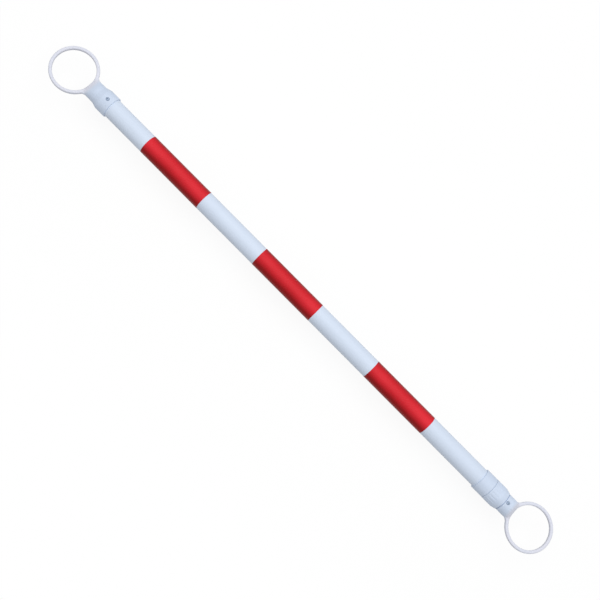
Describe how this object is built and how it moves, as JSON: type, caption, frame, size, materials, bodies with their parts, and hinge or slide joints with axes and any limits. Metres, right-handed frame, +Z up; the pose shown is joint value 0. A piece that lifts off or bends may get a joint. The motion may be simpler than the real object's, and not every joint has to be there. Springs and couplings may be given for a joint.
{
  "type": "telescopic demarcation pole",
  "caption": "Straight white pole with red reflective bands, a sliding inner tube with a twist lock, and a ring at each end that drops over the tip of a traffic cone.",
  "frame": {"origin": "centre of the fixed ring's hole, on the pole's axis", "axes": "+X along the pole from the fixed ring to the sliding ring, +Z up along the two rings' holes, on the side of the screws' heads"},
  "size_m": [1.3143, 0.096, 0.0458],
  "materials": {
    "white_tube": "smooth extruded white plastic, a little bluish, with fine draw lines along it",
    "white_moulding": "moulded white plastic, satin, with a parting line",
    "red_sheeting": "red reflective sheeting, glossy, with a fine cell pattern",
    "natural_plastic": "natural off-white plastic",
    "black_rubber": "black rubber",
    "steel": "zinc-plated steel"
  },
  "bodies": {
    "outer_pole": {"outer_tube": "white_tube", "red_band_1": "red_sheeting", "red_band_2": "red_sheeting", "red_band_3": "red_sheeting", "fixed_ring_end": "white_moulding", "fixed_ring_screw": "steel", "mouth_collar": "white_moulding"},
    "clamp_collet": {"clamp_collet": "natural_plastic"},
    "lock_nut": {"lock_nut": "white_moulding"},
    "friction_ring": {"friction_ring": "black_rubber"},
    "inner_pole": {"inner_tube": "white_tube", "guide_bush": "natural_plastic", "bush_pin": "steel", "sliding_ring_end": "white_moulding", "sliding_ring_screw": "steel"}
  },
  "joints": [
    {"name": "pole_slide", "type": "slide", "parent": "outer_pole", "child": "friction_ring", "axis": [1, 0, 0], "range_m": [0, 0.8]},
    {"name": "pole_swivel", "type": "hinge", "parent": "friction_ring", "child": "inner_pole", "pos_m": [1.2183, 0, 0], "axis": [1, 0, 0], "continuous": true},
    {"name": "collet_float", "type": "slide", "parent": "outer_pole", "child": "clamp_collet", "axis": [1, 0, 0], "range_m": [0, 0.001]},
    {"name": "nut_twist", "type": "hinge", "parent": "clamp_collet", "child": "lock_nut", "pos_m": [1.13, 0, 0], "axis": [1, 0, 0], "range_deg": [0, 120]}
  ],
  "couplings": [
    {"joint": "collet_float", "follows": "nut_twist", "m_per_rad": 0.000477}
  ]
}
